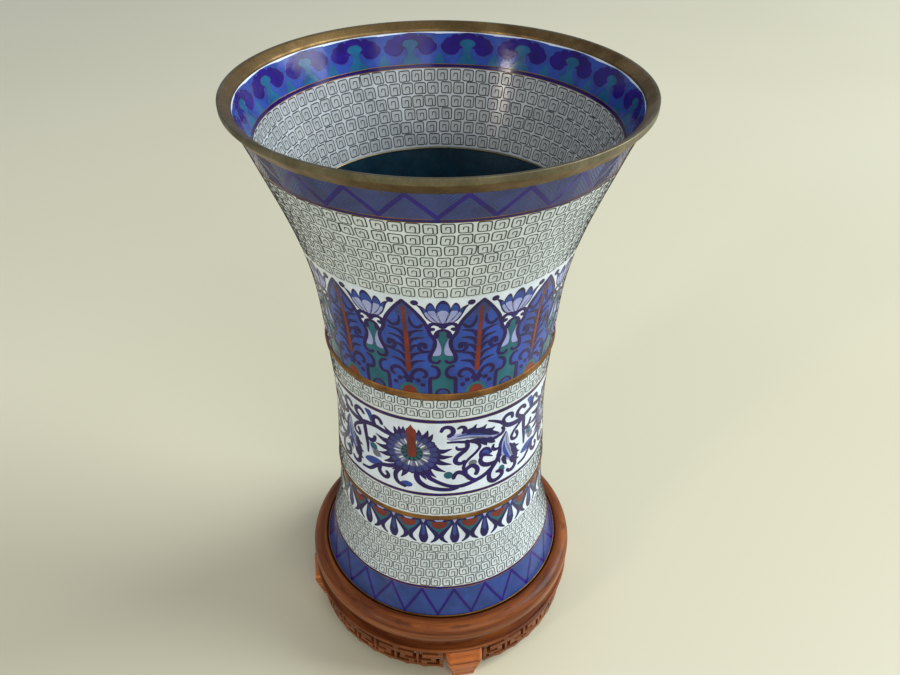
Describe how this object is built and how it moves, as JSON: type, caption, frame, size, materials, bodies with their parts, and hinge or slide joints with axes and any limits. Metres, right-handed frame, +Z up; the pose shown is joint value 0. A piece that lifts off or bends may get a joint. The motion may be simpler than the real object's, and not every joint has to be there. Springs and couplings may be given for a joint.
{
  "type": "vase on stand",
  "caption": "Tall trumpet-mouthed cloisonne enamel beaker vase with brass bands, standing loose in the recess of a round carved rosewood stand.",
  "frame": {"origin": "middle of the stand, level with the soles of its feet", "axes": "+Z up the vase's own axis, towards its mouth; one foot of the stand points along -Y"},
  "size_m": [0.2, 0.2, 0.3518],
  "materials": {
    "gilt_brass": "aged, worn satin",
    "copper": "bare copper",
    "blue_enamel": "opaque polished enamel",
    "purple_enamel": "opaque polished enamel",
    "celadon_enamel": "opaque polished enamel",
    "white_enamel": "opaque polished enamel",
    "teal_enamel": "opaque polished enamel",
    "rosewood": "waxed and polished"
  },
  "bodies": {
    "stand": {"stand_top_ring": "rosewood", "stand_floor_board": "rosewood", "stand_waist_ring": "rosewood", "stand_apron_1": "rosewood", "stand_apron_2": "rosewood", "stand_apron_3": "rosewood", "stand_apron_4": "rosewood", "stand_foot_1": "rosewood", "stand_foot_2": "rosewood", "stand_foot_3": "rosewood", "stand_foot_4": "rosewood", "foot_dowel_1": "rosewood", "foot_dowel_2": "rosewood", "foot_dowel_3": "rosewood", "foot_dowel_4": "rosewood"},
    "vase": {"mouth_rim": "gilt_brass", "trumpet_shell": "copper", "upper_joint_band": "gilt_brass", "waist_shell": "copper", "lower_joint_band": "gilt_brass", "foot_shell": "copper", "foot_ring": "gilt_brass", "base_plate": "copper", "base_enamel": "teal_enamel", "enamel_zigzag_foot": "blue_enamel", "enamel_border_foot": "purple_enamel", "enamel_key_fret_foot": "celadon_enamel", "enamel_petal_collar": "white_enamel", "enamel_key_fret_waist_lower": "celadon_enamel", "enamel_border_lotus_lower": "purple_enamel", "enamel_lotus_scroll": "white_enamel", "enamel_border_lotus_upper": "purple_enamel", "enamel_key_fret_waist_upper": "celadon_enamel", "enamel_leaf_band": "blue_enamel", "enamel_key_fret_mouth": "celadon_enamel", "enamel_border_mouth": "purple_enamel", "enamel_zigzag_mouth": "blue_enamel", "inner_gilt_line": "gilt_brass", "inner_key_fret": "celadon_enamel", "inner_border": "purple_enamel", "inner_cloud_band": "blue_enamel", "plain_lining": "teal_enamel"}
  },
  "joints": [
    {"name": "vase_lift", "type": "slide", "parent": "stand", "child": "vase", "axis": [0, 0, 1], "range_m": [0, 0.06]}
  ]
}
